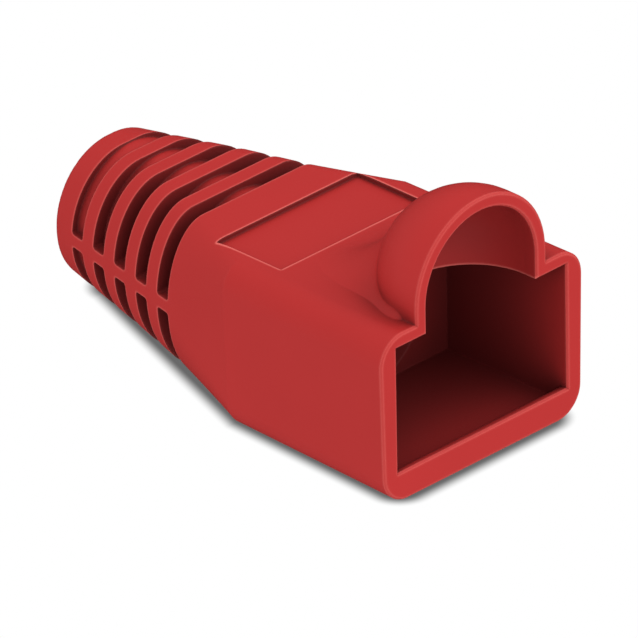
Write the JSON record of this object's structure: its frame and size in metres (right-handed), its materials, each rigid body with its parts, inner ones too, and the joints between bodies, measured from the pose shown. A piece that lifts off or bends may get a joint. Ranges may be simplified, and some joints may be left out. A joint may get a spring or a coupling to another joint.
{
  "type": "modular plug strain relief boot",
  "caption": "Moulded strain relief boot for a round cable with a modular plug: slotted flexible tail, square body open at the mouth, domed hood over the latch.",
  "frame": {"origin": "on the cable's centre line, at the tail's end face", "axes": "+X along the cable to the mouth, +Z to the hood's side, Y across"},
  "size_m": [0.0256, 0.014, 0.0144],
  "materials": {
    "boot": "satin moulded soft PVC, dyed through"
  },
  "bodies": {
    "root": {"boot": "boot"}
  },
  "joints": []
}
